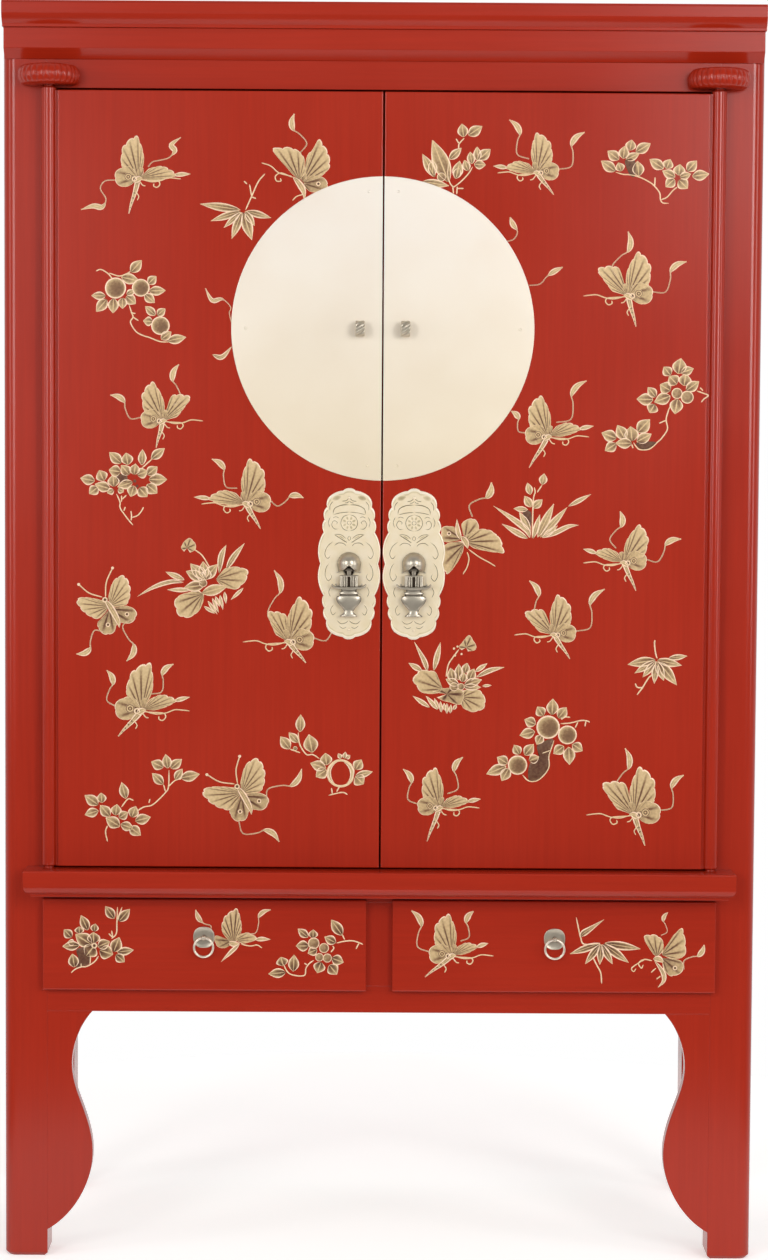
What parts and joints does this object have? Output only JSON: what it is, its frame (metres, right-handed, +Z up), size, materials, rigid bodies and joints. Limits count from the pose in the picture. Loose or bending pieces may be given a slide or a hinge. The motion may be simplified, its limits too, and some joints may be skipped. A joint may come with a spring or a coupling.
{
  "type": "chinese wedding cabinet",
  "caption": "Tall red lacquered cupboard on bracketed legs, with pivoting doors over drawers, a round brass plate and hanging pulls.",
  "frame": {"origin": "on the floor under the middle of the cabinet's box", "axes": "+X to the right of someone facing the doors, +Y to the back, +Z up"},
  "size_m": [1.13, 0.54, 1.88],
  "materials": {
    "red_lacquer": "gloss red lacquer",
    "bare_wood": "planed, unfinished",
    "yellow_brass": "polished",
    "white_brass": "cast and polished"
  },
  "bodies": {
    "case": {"front_left_post": "red_lacquer", "front_right_post": "red_lacquer", "rear_left_post": "red_lacquer", "rear_right_post": "red_lacquer", "crown_moulding": "red_lacquer", "frieze_board": "red_lacquer", "top_board": "red_lacquer", "top_front_rail": "red_lacquer", "middle_front_rail": "red_lacquer", "front_apron_rail": "red_lacquer", "drawer_stile": "red_lacquer", "top_rear_rail": "red_lacquer", "bottom_rear_rail": "red_lacquer", "rear_muntin": "red_lacquer", "back_panels": "red_lacquer", "left_top_side_rail": "red_lacquer", "right_top_side_rail": "red_lacquer", "left_bottom_side_rail": "red_lacquer", "right_bottom_side_rail": "red_lacquer", "left_side_panel": "red_lacquer", "right_side_panel": "red_lacquer", "pivot_ledge": "red_lacquer", "left_pivot_socket": "red_lacquer", "right_pivot_socket": "red_lacquer", "left_leg_bracket": "red_lacquer", "right_leg_bracket": "red_lacquer", "cupboard_floor": "bare_wood", "shelf": "bare_wood", "board_cleats": "bare_wood", "drawer_runners": "bare_wood"},
    "left_door": {"left_door_panel": "red_lacquer", "left_pivot_stile": "red_lacquer", "left_door_battens": "bare_wood", "left_moon_plate": "yellow_brass", "left_lock_eyelet": "white_brass", "left_escutcheon": "yellow_brass", "left_pull_boss": "white_brass", "left_door_nails": "yellow_brass"},
    "left_pull": {"left_vase_pull": "white_brass"},
    "left_drawer": {"left_drawer_front": "red_lacquer", "left_drawer_sides": "bare_wood", "left_drawer_back": "bare_wood", "left_drawer_bottom": "bare_wood", "left_ring_mount": "white_brass"},
    "left_ring": {"left_ring_pull": "white_brass"},
    "right_door": {"right_door_panel": "red_lacquer", "right_pivot_stile": "red_lacquer", "right_door_battens": "bare_wood", "right_moon_plate": "yellow_brass", "right_lock_eyelet": "white_brass", "right_escutcheon": "yellow_brass", "right_pull_boss": "white_brass", "right_door_nails": "yellow_brass"},
    "right_pull": {"right_vase_pull": "white_brass"},
    "right_drawer": {"right_drawer_front": "red_lacquer", "right_drawer_sides": "bare_wood", "right_drawer_back": "bare_wood", "right_drawer_bottom": "bare_wood", "right_ring_mount": "white_brass"},
    "right_ring": {"right_ring_pull": "white_brass"}
  },
  "joints": [
    {"name": "left_door_turn", "type": "hinge", "parent": "case", "child": "left_door", "pos_m": [-0.4955, -0.22, 0.5955], "axis": [0, 0, -1], "range_deg": [0, 165]},
    {"name": "left_pull_swing", "type": "hinge", "parent": "left_door", "child": "left_pull", "pos_m": [-0.0482, -0.2405, 1.0452], "axis": [-1, 0, 0], "range_deg": [0, 80]},
    {"name": "left_drawer_slide", "type": "slide", "parent": "case", "child": "left_drawer", "axis": [0, -1, 0], "range_m": [0, 0.3]},
    {"name": "left_ring_swing", "type": "hinge", "parent": "left_drawer", "child": "left_ring", "pos_m": [-0.2634, -0.2295, 0.4905], "axis": [-1, 0, 0], "range_deg": [0, 100]},
    {"name": "right_door_turn", "type": "hinge", "parent": "case", "child": "right_door", "pos_m": [0.4955, -0.22, 0.5955], "axis": [0, 0, 1], "range_deg": [0, 165]},
    {"name": "right_pull_swing", "type": "hinge", "parent": "right_door", "child": "right_pull", "pos_m": [0.0482, -0.2405, 1.0452], "axis": [-1, 0, 0], "range_deg": [0, 80]},
    {"name": "right_drawer_slide", "type": "slide", "parent": "case", "child": "right_drawer", "axis": [0, -1, 0], "range_m": [0, 0.3]},
    {"name": "right_ring_swing", "type": "hinge", "parent": "right_drawer", "child": "right_ring", "pos_m": [0.2634, -0.2295, 0.4905], "axis": [-1, 0, 0], "range_deg": [0, 100]}
  ]
}
